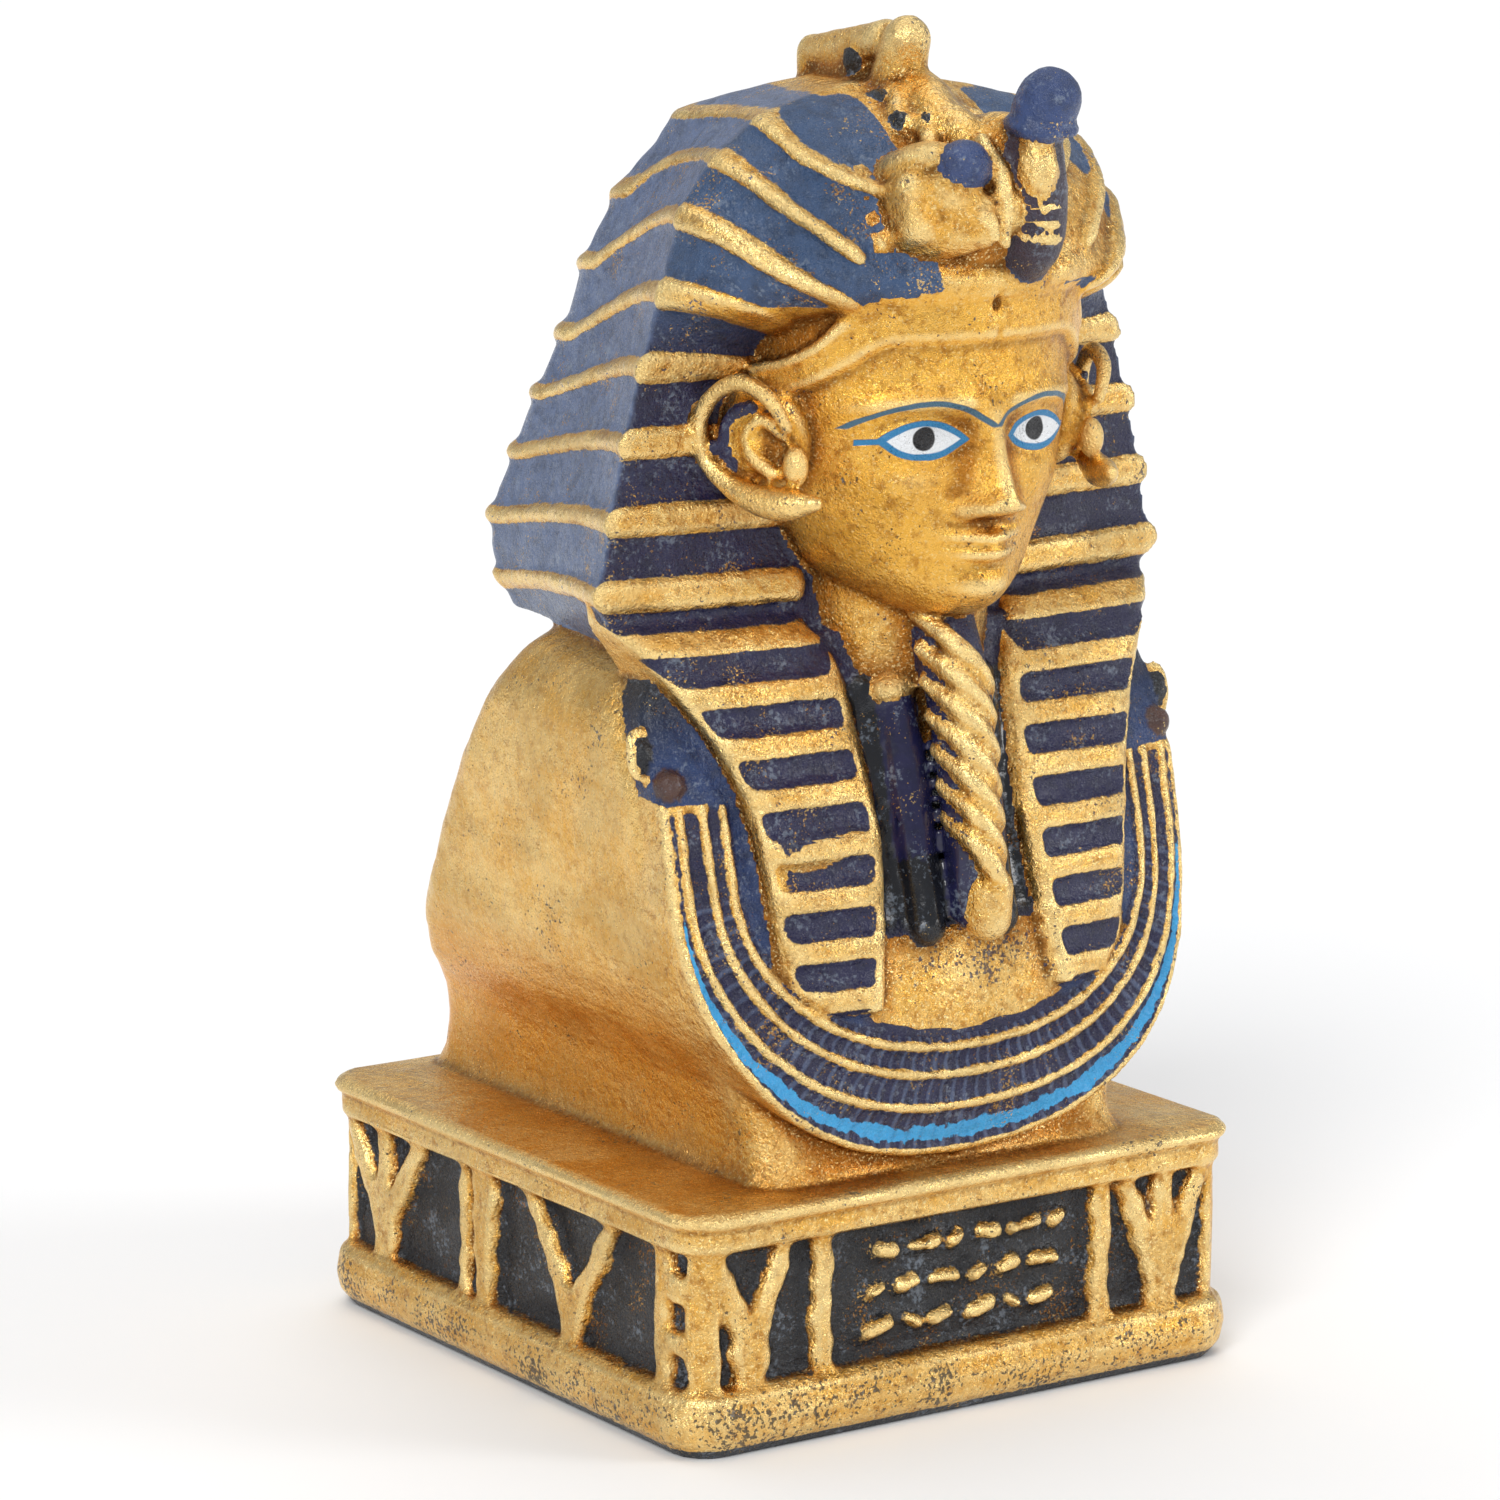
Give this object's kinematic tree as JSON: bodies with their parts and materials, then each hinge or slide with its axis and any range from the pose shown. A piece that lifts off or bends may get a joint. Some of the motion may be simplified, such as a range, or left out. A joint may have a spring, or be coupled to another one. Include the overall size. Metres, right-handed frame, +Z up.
{
  "type": "king figurine",
  "caption": "Painted cast-resin souvenir bust of an ancient king in a striped headcloth and broad collar, standing on a square relief plinth.",
  "frame": {"origin": "middle of the plinth's flat underside, on the surface that it stands on", "axes": "+Z up; the figure looks along -Y; +X is the figure's left"},
  "size_m": [0.0498, 0.0592, 0.1003],
  "materials": {
    "painted_resin": "cast resin with rubbed metallic gold paint, dark blue, light blue and black paint in the hollows"
  },
  "bodies": {
    "root": {"king_bust": "painted_resin"}
  },
  "joints": []
}
